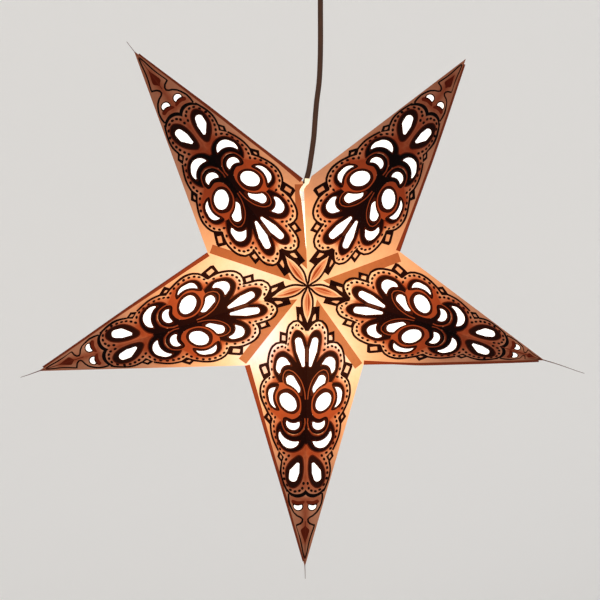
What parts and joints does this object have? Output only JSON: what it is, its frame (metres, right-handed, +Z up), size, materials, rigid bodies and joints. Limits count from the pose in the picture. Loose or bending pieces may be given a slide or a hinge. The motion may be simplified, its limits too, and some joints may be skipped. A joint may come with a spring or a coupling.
{
  "type": "paper star lantern",
  "caption": "Hanging star-shaped lantern of folded printed card, with cut-out petals, moons and ovals backed with white paper, lit from inside and held by its lamp flex from a ceiling cup.",
  "frame": {"origin": "the centre of the ceiling base's top face, which is screwed to the ceiling", "axes": "+Z up, the star's front faces -Y, +X to the right as seen from the front"},
  "size_m": [0.5938, 0.15, 0.662],
  "materials": {
    "printed_card": "matte, printed in black and rust on cream, lit through from inside",
    "lining_paper": "translucent white tracing paper, lit through from inside",
    "holder_plastic": "satin",
    "bulb_glass": "opal, lit",
    "flex_cover": "glossy dark brown",
    "fitting_plastic": "satin white",
    "block_plastic": "satin"
  },
  "bodies": {
    "root": {"point_upper_right": "printed_card", "point_upper_left": "printed_card", "point_left": "printed_card", "point_lower": "printed_card", "point_right": "printed_card", "lining_upper_right": "lining_paper", "lining_upper_left": "lining_paper", "lining_left": "lining_paper", "lining_lower": "lining_paper", "lining_right": "lining_paper", "holder_cap": "holder_plastic", "holder_body": "holder_plastic", "bulb": "bulb_glass", "flex": "flex_cover", "cord_grip": "fitting_plastic", "ceiling_cup": "fitting_plastic", "ceiling_base": "fitting_plastic", "terminal_block": "block_plastic"}
  },
  "joints": []
}
